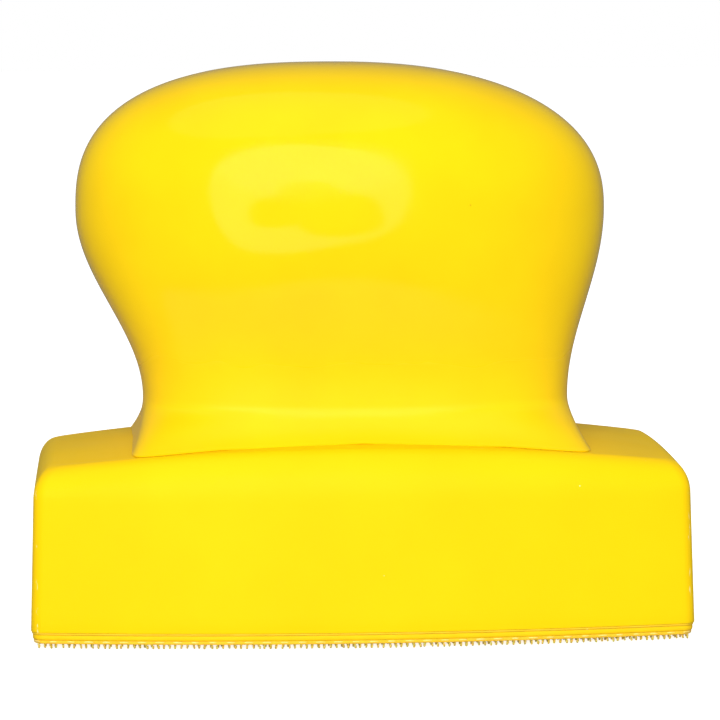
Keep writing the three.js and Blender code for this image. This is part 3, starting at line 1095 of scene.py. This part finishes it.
    def counterbore(self, x: float, z: float) -> bpy.types.Object:
        """Cutter of one rear screw hole, with an edge that follows the curved surface."""
        sides = 48
        edge = self.bore_edge
        points: list[Point] = []
        rings: list[tuple[float, float | None, float]] = [
            (self.shank_bore, -self.wall, 0),
            (self.shank_bore, self.screw_seat_y, 0),
            (self.head_bore, self.screw_seat_y, 0),
        ]
        for k in range(6):
            turn = math.pi / 2 * k / 5
            radius = self.head_bore + edge * (1 - math.cos(turn))
            rings.append((radius, None, edge * (1 - math.sin(turn))))
        rings.append((self.head_bore + edge, self.bulb_half[1] + self.wall, 0))
        for radius, flat_y, below in rings:
            for cosine, sine in circle(sides):
                px, pz = x + radius * cosine, z - radius * sine
                y = flat_y if flat_y is not None else self.skin_y(px, pz) + self.seam / 2 - below
                points.append((px, y, pz))
        faces: list[Face] = []
        for a, b, c, d in ring_skin(len(rings), sides):
            faces += [(a, b, c), (a, c, d)]
        faces.append(tuple(reversed(range(sides))))
        faces.append(tuple(range(len(points) - sides, len(points))))
        return mesh_object("counterbore", points, faces)

    def build(self, plug_low_z: float) -> None:
        """Hollow, boss, bore and dress both halves.

        Args:
            plug_low_z: Height of the plug's lower end.
        """
        for side in Side:
            half = self.solid_half(side)
            plug = self.plug_half(side, plug_low_z, self.block.top_z(0, 0) + self.plug_lap)
            half = combined(half, plug, "UNION")
            low_z, high_z = plug_low_z - self.fit, self.neck_z + self.fit
            inside = self.plug_slab("inside", -self.wall, low_z, high_z)
            half = combined(half, self.hollow(), "DIFFERENCE")
            half = combined(half, inside, "DIFFERENCE")
            for boss in self.bosses(side):
                half = combined(half, boss, "UNION")
            for bore in self.bores(side):
                half = combined(half, bore, "DIFFERENCE")
            smoothed(half, 38)
            dressed(half, MouldedGloss(), "grip_yellow", f"grip_{side.name.lower()}_half")


# ---------------------------------------------------------------- screws


class Head(Enum):
    """Shape of a screw's head."""

    PAN = "pan"
    COUNTERSUNK = "countersunk"


@dataclass
class Screw:
    """Thread-forming screw with a cross recess. It points down -Z, its head's seat on Z = 0."""

    head: Head
    length: float
    shank_radius: float = 1.75 * MM
    head_radius: float = 3.4 * MM
    head_height: float = 2.4 * MM
    pitch: float = 1.4 * MM
    thread_depth: float = 0.4 * MM
    ridge_share: float = 0.28
    tip_length: float = 2.5 * MM
    tip_radius: float = 0.35 * MM
    recess_width: float = 0.9 * MM
    recess_reach: float = 2 * MM
    recess_depth: float = 1.2 * MM
    sides: int = 24
    rows_per_turn: int = 6

    def shank_rows(self) -> list[list[Point]]:
        """Rings of the threaded shank, from the tip up to the head's seat."""
        count = math.ceil(self.length / self.pitch * self.rows_per_turn)
        rows = []
        for j in range(count + 1):
            z = -self.length + self.length * j / count
            taper = clamp((z + self.length) / self.tip_length)
            fade = clamp(-z / self.pitch)
            row = []
            for k, (cosine, sine) in enumerate(circle(self.sides)):
                phase = (z / self.pitch - k / self.sides) % 1
                ridge = max(0.0, 1 - abs(phase - 0.5) / self.ridge_share)
                full = self.shank_radius - self.thread_depth * (1 - ridge * fade)
                radius = lerp(self.tip_radius, full, taper)
                row.append((radius * cosine, radius * sine, z))
            rows.append(row)
        return rows

    def head_profile(self) -> list[tuple[float, float]]:
        """(radius, height) of the head's rings, from its seat up."""
        edge = 0.18 * MM
        if self.head is Head.COUNTERSUNK:
            neck = self.shank_radius - self.thread_depth
            return [
                (neck, 0),
                (self.head_radius, self.head_height - 2 * edge),
                (self.head_radius, self.head_height - edge),
                (self.head_radius - edge, self.head_height),
            ]
        crown = [(self.head_radius - edge, 0), (self.head_radius, edge)]
        crown.append((self.head_radius, self.head_height * 0.45))
        for k in range(1, 7):
            turn = math.pi / 2 * k / 6
            radius = lerp(self.head_radius * 0.55, self.head_radius, math.cos(turn))
            crown.append((radius, self.head_height * (0.45 + 0.55 * math.sin(turn))))
        return crown

    def prototype(self) -> bpy.types.Object:
        """The screw at the origin."""
        points = [p for row in self.shank_rows() for p in row]
        for radius, z in self.head_profile():
            points += [(radius * c, radius * s, z) for c, s in circle(self.sides)]
        screw = capped("screw", points, self.sides)
        low, high = self.head_height - self.recess_depth, self.head_height + self.recess_width
        for reach_x, reach_y in (
            (self.recess_reach, self.recess_width / 2),
            (self.recess_width / 2, self.recess_reach),
        ):
            slot = rounded_slab("slot", reach_x, reach_y, self.recess_width * 0.2, low, high)
            screw = combined(screw, slot, "DIFFERENCE")
        smoothed(screw, 35)
        return screw

    def place(self, name: str, turn: Matrix) -> None:
        """Make one screw of this kind.

        Args:
            name: CAD node that it replaces.
            turn: Where the screw goes.
        """
        screw = self.prototype()
        screw.name = name + "_threaded"
        screw.data.transform(turn)
        dressed(screw, ZincPlatedSteel(), "screw_steel", name)


@dataclass
class ScrewSet:
    """The four grip screws from the rear and the four plate screws from below."""

    grip_screw: Screw
    plate_screw: Screw

    @staticmethod
    def names(family: str) -> list[str]:
        """CAD nodes of one family of screws."""
        return sorted(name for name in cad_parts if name.startswith(family))

    def build(self) -> None:
        """Place each screw where its CAD node is."""
        for name in self.names("grip_screw"):
            low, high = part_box(name)
            seat = (low + high) / 2
            seat.y = high.y - self.grip_screw.head_height
            turn = Matrix.Translation(seat) @ Matrix.Rotation(math.radians(-90), 4, "X")
            self.grip_screw.place(name, turn)
        for name in self.names("plate_screw"):
            low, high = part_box(name)
            seat = (low + high) / 2
            seat.z = low.z + self.plate_screw.head_height
            turn = Matrix.Translation(seat) @ Matrix.Rotation(math.pi, 4, "X")
            self.plate_screw.place(name, turn)


# ---------------------------------------------------------------- sole


class GeometryTree:
    """A Geometry Nodes tree with named size inputs."""

    def __init__(self, name: str) -> None:
        """Start an empty tree with its geometry output."""
        self.tree = bpy.data.node_groups.new(name, "GeometryNodeTree")
        for way in ("INPUT", "OUTPUT"):
            self.tree.interface.new_socket(
                "Geometry", in_out=way, socket_type="NodeSocketGeometry"
            )
        self.nodes = Nodes(self.tree)
        self.values: dict[str, float | int] = {}
        self.entry = self.nodes.add("NodeGroupInput")

    def size(self, name: str, value: float) -> bpy.types.NodeSocket:
        """Add a named size input in metres or as a plain number."""
        self.tree.interface.new_socket(name, in_out="INPUT", socket_type="NodeSocketFloat")
        self.values[name] = value
        return self.entry.outputs[name]

    def whole(self, name: str, value: int) -> bpy.types.NodeSocket:
        """Add a named whole-number input."""
        self.tree.interface.new_socket(name, in_out="INPUT", socket_type="NodeSocketInt")
        self.values[name] = value
        return self.entry.outputs[name]

    def maths(self, kind: str, first: object, second: object = 0.0) -> bpy.types.NodeSocket:
        """One arithmetic step between numbers or sockets."""
        return self.nodes.maths(kind, first, second)

    def close(self, geometry: bpy.types.NodeSocket, material: bpy.types.Material) -> None:
        """Realize the instances, set the material and end the tree."""
        real = self.nodes.add("GeometryNodeRealizeInstances", Geometry=geometry)
        shown = self.nodes.add(
            "GeometryNodeSetMaterial", Geometry=real.outputs[0], Material=material
        )
        self.nodes.add("NodeGroupOutput", Geometry=shown.outputs[0])

    def run(self, name: str, start: bpy.types.Object) -> bpy.types.Object:
        """Evaluate the tree on an object and return the plain result."""
        modifier = start.modifiers.new("made", "NODES")
        modifier.node_group = self.tree
        for item in self.tree.interface.items_tree:
            if item.item_type == "SOCKET" and item.name in self.values:
                modifier[item.identifier] = self.values[item.name]
        return baked(start, name)


@dataclass
class HookField:
    """Rows of nylon hooks on the underside of the cloth."""

    base_z: float
    half_width: float
    half_depth: float
    face_bow: float
    pitch: float = YARN_PITCH
    row_pitch: float = 1.3 * MM
    filament: float = 0.19 * MM
    curl: float = 0.36 * MM

    def places(self, edge: bool) -> list[Point]:
        """Feet of the hooks, either of the outer rows or of the field inside them."""
        found = []
        across = math.floor((self.half_width - self.filament) / self.pitch)
        deep = math.floor((self.half_depth - self.filament) / self.row_pitch)
        for i in range(-across, across + 1):
            x = i * self.pitch
            bowed = self.face_bow * (x / self.half_width) ** 2
            limit = self.half_depth - bowed - 1.2 * self.filament
            front_rows = math.floor(limit / self.row_pitch)
            for j in range(-front_rows, front_rows + 1):
                outer = abs(j) >= front_rows - 1 or abs(i) >= across - 1
                if outer == edge:
                    found.append((x, self.row_y(j, front_rows, limit), self.base_z))
        return found

    def row_y(self, row: int, last: int, limit: float) -> float:
        """Depth of a row; the outermost rows follow the bowed edge."""
        return math.copysign(limit, row) if abs(row) == last else row * self.row_pitch

    def tree(self, name: str, steps: int, sides: int, seed: int) -> GeometryTree:
        """Tree that grows one bent hook on each point.

        Args:
            name: Name of the tree.
            steps: Stretches along each hook.
            sides: Sides of its filament.
            seed: Seed of the random lean.

        Returns:
            The tree.
        """
        made = GeometryTree(name)
        height = made.size("Hook height", self.base_z - self.filament)
        radius = made.size("Filament radius", self.filament)
        curl = made.size("Curl width", self.curl)
        seed_in = made.whole("Seed", seed)
        nodes = made.nodes
        down = made.maths("MULTIPLY", height, -1.26)
        back = made.maths("MULTIPLY", height, -0.5)
        foot = nodes.add("ShaderNodeCombineXYZ", Z=0.0)
        first = nodes.add("ShaderNodeCombineXYZ", Z=down)
        second = nodes.add("ShaderNodeCombineXYZ", Y=curl, Z=down)
        end = nodes.add("ShaderNodeCombineXYZ", Y=curl, Z=back)
        line = nodes.add(
            "GeometryNodeCurvePrimitiveBezierSegment",
            Resolution=steps,
            Start=foot.outputs[0],
            Start_Handle=first.outputs[0],
            End_Handle=second.outputs[0],
            End=end.outputs[0],
        )
        section = nodes.add("GeometryNodeCurvePrimitiveCircle", Resolution=sides, Radius=radius)
        hook = nodes.add(
            "GeometryNodeCurveToMesh",
            Curve=line.outputs[0],
            Profile_Curve=section.outputs[0],
            Fill_Caps=True,
        )
        turn = self.random_turn(nodes, seed_in)
        size = nodes.add("FunctionNodeRandomValue", {"data_type": "FLOAT"}, Seed=seed_in)
        size.inputs[2].default_value = 0.86
        size.inputs[3].default_value = 1.0
        spread = nodes.add(
            "GeometryNodeInstanceOnPoints",
            Points=made.entry.outputs["Geometry"],
            Instance=hook.outputs[0],
            Rotation=turn,
            Scale=size.outputs[1],
        )
        made.close(spread.outputs[0], HookNylon().material())
        return made

    @staticmethod
    def random_turn(nodes: Nodes, seed: bpy.types.NodeSocket) -> bpy.types.NodeSocket:
        """Random lean and twist of each hook; some hooks are turned right round."""
        lean = nodes.add("FunctionNodeRandomValue", {"data_type": "FLOAT_VECTOR"}, Seed=seed)
        lean.inputs[0].default_value = (-0.16, -0.2, -0.7)
        lean.inputs[1].default_value = (0.16, 0.2, 0.7)
        return lean.outputs[0]

    def build(self) -> None:
        """Grow the field and the finer outer rows."""
        for name, edge, steps, sides in (
            ("hook_field", False, 5, 3),
            ("hook_edge_rows", True, 8, 6),
        ):
            start = mesh_object(name + "_feet", self.places(edge), [])
            piece = self.tree(name + "_tree", steps, sides, seed=7).run(name, start)
            piece.data.shade_smooth()
            dressed(piece, HookNylon(), "hook_nylon", "hook_pile")


@dataclass
class Sole:
    """Stack under the block: adhesive, flexible backing, woven cloth and hooks."""

    block: Block
    film_inset: float = 0.14 * MM
    backing_inset: float = 0.3 * MM
    cloth_inset: float = 0.5 * MM
    edge: float = 0.14 * MM
    film_lap: float = 0.14 * MM
    yarn_pitch: float = YARN_PITCH
    stitch_pitch: float = 3.33 * MM
    stitch_length: float = 2.0 * MM
    stitch_radius: float = 0.15 * MM

    def layer(
        self,
        name: str,
        node: str,
        inset: float,
        bulge: Callable[[float], float] = lambda along: 0.0,
        lap: float = 0.07 * MM,
    ) -> bpy.types.Object:
        """A flat layer with rounded edges.

        Args:
            name: Name of the piece.
            node: CAD node that it replaces, which gives its heights.
            inset: How far it lies inside the block's edge.
            bulge: How far its edge stands out at a length along the outline.
            lap: How far it reaches past its node's heights, into the clearances.

        Returns:
            The closed layer.
        """
        low_z, high_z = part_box(node)[0].z - lap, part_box(node)[1].z + lap
        edge = min(self.edge, (high_z - low_z) / 2)
        outline = self.fine_outline(inset)
        points: list[Point] = []
        rings = 7
        for ring in range(rings):
            turn = math.pi * ring / (rings - 1)
            share = (1 - math.cos(turn)) / 2
            z = lerp(low_z, high_z, share)
            for (x, y), (nx, ny), along in outline:
                out = edge * (math.sin(turn) - 1) + bulge(along) * math.sin(turn)
                points.append((x + nx * out, y + ny * out, z))
        return capped(name, points, len(outline))

    def fine_outline(
        self, inset: float
    ) -> list[tuple[tuple[float, float], tuple[float, float], float]]:
        """Evenly stepped outline: (place, outward direction, length so far)."""
        radius = self.block.corner_radius
        rough = self.block.outline(inset, inset, radius)
        step = self.yarn_pitch / 4
        found = []
        total = 0.0
        carried = 0.0
        for k, start in enumerate(rough):
            end = rough[(k + 1) % len(rough)]
            length = math.dist(start, end)
            direction = ((end[0] - start[0]) / length, (end[1] - start[1]) / length)
            while carried < length:
                place = (start[0] + direction[0] * carried, start[1] + direction[1] * carried)
                found.append((place, (direction[1], -direction[0]), total + carried))
                carried += step
            carried -= length
            total += length
        return found

    def stitches(self) -> bpy.types.Object:
        """Pale binding stitches along the cloth's edge, one every third yarn."""
        low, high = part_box("hook_weave")
        z = lerp(low.z, high.z, 0.62)
        outline = self.fine_outline(self.cloth_inset)
        inward = self.stitch_radius * 0.35
        every = round(self.stitch_pitch / (self.yarn_pitch / 4))
        feet: list[Point] = []
        turns: list[float] = []
        for (x, y), (nx, ny), _ in outline[::every]:
            feet.append((x - nx * inward, y - ny * inward, z))
            turns.append(math.atan2(nx, -ny))
        start = mesh_object("stitch_feet", feet, [])
        turn = start.data.attributes.new("turn", "FLOAT", "POINT")
        turn.data.foreach_set("value", turns)
        made = GeometryTree("binding_stitch_tree")
        radius = made.size("Stitch radius", self.stitch_radius)
        length = made.size("Stitch length", self.stitch_length)
        seed = made.whole("Seed", 3)
        nodes = made.nodes
        ball = nodes.add("GeometryNodeMeshUVSphere", Segments=8, Rings=6, Radius=radius)
        ratio = made.maths("DIVIDE", length, made.maths("MULTIPLY", radius, 2.0))
        heading = nodes.add("GeometryNodeInputNamedAttribute", {"data_type": "FLOAT"}, Name="turn")
        rotation = nodes.add("ShaderNodeCombineXYZ", Z=heading.outputs["Attribute"])
        vary = nodes.add("FunctionNodeRandomValue", {"data_type": "FLOAT"}, Seed=seed)
        vary.inputs[2].default_value = 0.7
        vary.inputs[3].default_value = 1.1
        scale = nodes.add(
            "ShaderNodeCombineXYZ", X=made.maths("MULTIPLY", ratio, vary.outputs[1]), Y=1.0, Z=1.0
        )
        spread = nodes.add(
            "GeometryNodeInstanceOnPoints",
            Points=made.entry.outputs["Geometry"],
            Instance=ball.outputs[0],
            Rotation=rotation.outputs[0],
            Scale=scale.outputs[0],
        )
        made.close(spread.outputs[0], SelvageThread().material())
        return made.run("edge_binding_stitches", start)

    def build(self) -> None:
        """Make and dress each layer."""
        film = self.layer("adhesive_sheet", "adhesive_film", self.film_inset, lap=self.film_lap)
        smoothed(film, 40)
        dressed(film, AcrylicAdhesive(), "adhesive_clear", "adhesive_film")
        backing = self.layer("backing_sheet", "sole_backing", self.backing_inset)
        smoothed(backing, 40)
        dressed(backing, CastSheet(), "backing_yellow", "sole_backing")
        wave = 2 * math.pi / self.yarn_pitch
        cloth = self.layer(
            "ground_cloth",
            "hook_weave",
            self.cloth_inset,
            lambda along: 0.05 * MM * math.sin(wave * along),
        )
        smoothed(cloth, 40)
        dressed(cloth, WovenNylon(), "hook_cloth", "hook_weave")
        stitches = self.stitches()
        stitches.data.shade_smooth()
        dressed(stitches, SelvageThread(), "hook_cloth", "hook_weave")
        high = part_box("hook_pile")[1]
        HookField(
            base_z=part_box("hook_weave")[0].z + self.edge / 2,
            half_width=high.x,
            half_depth=high.y,
            face_bow=self.block.face_bow,
        ).build()


# ---------------------------------------------------------------- studio


@dataclass(frozen=True)
class LightPanel(Finish):
    """Evenly glowing fabric of a light panel, or black cloth where its glow is 0."""

    name: str = "light_panel"
    glow: float = 1.0

    def surface(self, nodes: Nodes, place: Socket) -> bpy.types.Node:
        """Plain white light."""
        return nodes.add("ShaderNodeEmission", Color=WHITE, Strength=self.glow)


@dataclass
class Studio:
    """White studio: a glowing white floor, soft surroundings and one big front softbox."""

    camera_place: Point = (-45.46 * MM, -762.1 * MM, 127.1 * MM)
    azimuth_deg: float = -3.495
    elevation_deg: float = 5.71
    roll_deg: float = 0.263
    lens_mm: float = 198.0
    floor_size: float = 8.0
    backdrop: float = 1.0
    fill: float = 0.38
    mirrored: float = 0.22
    key_power: float = 15.0
    reflected_at: Point = (-9.5 * MM, -27.5 * MM, 83 * MM)

    def camera(self) -> None:
        """Long lens, a little above and to the left of the front."""
        azimuth, elevation = math.radians(self.azimuth_deg), math.radians(self.elevation_deg)
        roll = math.radians(self.roll_deg)
        level = math.cos(elevation)
        ahead = Vector(
            (-math.sin(azimuth) * level, math.cos(azimuth) * level, -math.sin(elevation))
        )
        right = Vector((math.cos(azimuth), math.sin(azimuth), 0))
        up = right.cross(ahead)
        turned_right = right * math.cos(roll) - up * math.sin(roll)
        turned_up = up * math.cos(roll) + right * math.sin(roll)
        data = bpy.data.cameras.new("camera")
        data.lens = self.lens_mm
        data.clip_end = 50
        camera = bpy.data.objects.new("camera", data)
        turn = Matrix((turned_right, turned_up, -ahead)).transposed().to_4x4()
        camera.matrix_world = Matrix.Translation(self.camera_place) @ turn
        bpy.context.scene.collection.objects.link(camera)
        bpy.context.scene.camera = camera

    def floor(self) -> None:
        """Plain white backlit paper; it neither lights the object nor is mirrored in it."""
        half = self.floor_size / 2
        corners = [(-half, -half, 0.0), (half, -half, 0.0), (half, half, 0.0), (-half, half, 0.0)]
        floor = mesh_object("floor", corners, [(0, 1, 2, 3)])
        floor.data.materials.append(StudioPaper().material())
        floor.visible_glossy = False
        floor.visible_diffuse = False

    def world(self) -> None:
        """White backdrop, with a dimmer fill and a dim mirrored surround."""
        world = bpy.data.worlds.new("white_surround")
        world.use_nodes = True
        nodes = Nodes(world.node_tree)
        path = nodes.add("ShaderNodeLightPath")
        camera_ray = path.outputs["Is Camera Ray"]
        seen = nodes.ranged(camera_ray, To_Min=self.fill, To_Max=self.backdrop)
        strength = nodes.add(
            "ShaderNodeMix",
            {"data_type": "FLOAT"},
            i0=path.outputs["Is Glossy Ray"],
            i2=seen,
            i3=self.mirrored,
        )
        sky = nodes.add("ShaderNodeBackground", Color=WHITE, Strength=strength.outputs[0])
        nodes.add("ShaderNodeOutputWorld", Surface=sky.outputs[0])
        bpy.context.scene.world = world

    def area(self, name: str, place: Point, aim: Point, size: float, power: float) -> None:
        """A round soft light, whose own shape isn't mirrored.

        Args:
            name: Name of the light.
            place: Where it stands.
            aim: Point that it faces.
            size: Diameter in metres.
            power: Power in watts.
        """
        data = bpy.data.lights.new(name, "AREA")
        data.shape = "DISK"
        data.size = size
        data.energy = power
        light = bpy.data.objects.new(name, data)
        direction = Vector(aim) - Vector(place)
        turn = direction.to_track_quat("-Z", "Y").to_matrix().to_4x4()
        light.matrix_world = Matrix.Translation(place) @ turn
        light.visible_glossy = False
        bpy.context.scene.collection.objects.link(light)

    def panel(
        self,
        name: str,
        centre: tuple[float, float],
        reach: tuple[float, float],
        away: float,
        glow: float,
    ) -> None:
        """An oval panel that shows only as a reflection.

        Args:
            name: Name of the panel.
            centre: Degrees to the left and up, seen from the place it is mirrored at.
            reach: Half its width and height in degrees.
            away: Distance from that place.
            glow: Brightness, with 0 for black cloth.
        """
        origin = Vector(self.reflected_at)
        left, up = math.radians(centre[0]), math.radians(centre[1])
        level = math.cos(up)
        outward = Vector((-math.sin(left) * level, -math.cos(left) * level, math.sin(up)))
        side = outward.cross(Vector((0, 0, 1))).normalized()
        rise = side.cross(outward).normalized()
        middle = origin + outward * away
        half_x, half_z = (away * math.tan(math.radians(a)) for a in reach)
        corners = [tuple(middle + side * half_x * c + rise * half_z * s) for c, s in circle(72)]
        panel = mesh_object(name, corners, [tuple(range(len(corners)))])
        panel.data.materials.append(LightPanel(name=name + "_light", glow=glow).material())
        panel.visible_camera = False
        panel.visible_diffuse = False
        panel.visible_shadow = False
        panel.visible_transmission = False

    def build(self) -> None:
        """Set up the floor, the lights, the panels and the camera."""
        scene = bpy.context.scene
        scene.view_settings.view_transform = "Standard"
        scene.view_settings.look = "None"
        self.camera()
        self.floor()
        self.world()
        self.area("front_softbox", (-0.12, -1.03, 0.5), (0, 0, 0.05), 0.84, self.key_power)
        self.panel("softbox_panel", (7.1, 7.9), (23.0, 30.0), 1.25, 1.9)
        self.panel("camera_body", (3.5, 3.0), (7, 8), 1.15, 0.2)
        self.panel("tripod_head", (11.0, -3.0), (7, 6), 1.14, 0.2)
        self.panel("photographer", (-2.0, -5.0), (8, 10), 1.13, 0.2)
        self.panel("overhead_panel", (30.0, 72.0), (28, 28), 1.5, 0.65)
        self.panel("table_front", (0.0, -52.0), (50, 15), 0.2, 0.8)


# ---------------------------------------------------------------- assembly

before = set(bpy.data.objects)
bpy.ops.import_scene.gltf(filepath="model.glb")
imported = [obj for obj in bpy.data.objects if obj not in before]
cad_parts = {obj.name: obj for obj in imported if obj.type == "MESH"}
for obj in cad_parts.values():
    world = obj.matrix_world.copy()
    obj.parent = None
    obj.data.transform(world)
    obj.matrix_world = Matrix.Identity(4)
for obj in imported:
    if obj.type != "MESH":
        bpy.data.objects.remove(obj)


def main() -> None:
    """Build the studio and every sub-assembly."""
    logging.basicConfig(level=logging.INFO, format="%(name)s: %(message)s")
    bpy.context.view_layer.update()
    Studio().build()
    block = Block(*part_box("block"))
    plate = StiffenerPlate(*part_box("stiffener_plate"))
    places = []
    for name in ScrewSet.names("grip_screw"):
        low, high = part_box(name)
        places.append(((low.x + high.x) / 2, (low.z + high.z) / 2))
    grip = Grip(top_z=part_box("grip_front_half")[1].z, block=block, screw_places=places)
    block.build(plate, grip)
    plate.build(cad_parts["stiffener_plate"])
    grip.build(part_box("grip_front_half")[0].z)
    ScrewSet(
        grip_screw=Screw(Head.PAN, length=20 * MM),
        plate_screw=Screw(
            Head.COUNTERSUNK, length=16 * MM, head_radius=3.5 * MM, head_height=2 * MM
        ),
    ).build()
    Sole(block).build()


if __name__ == "__main__":
    main()
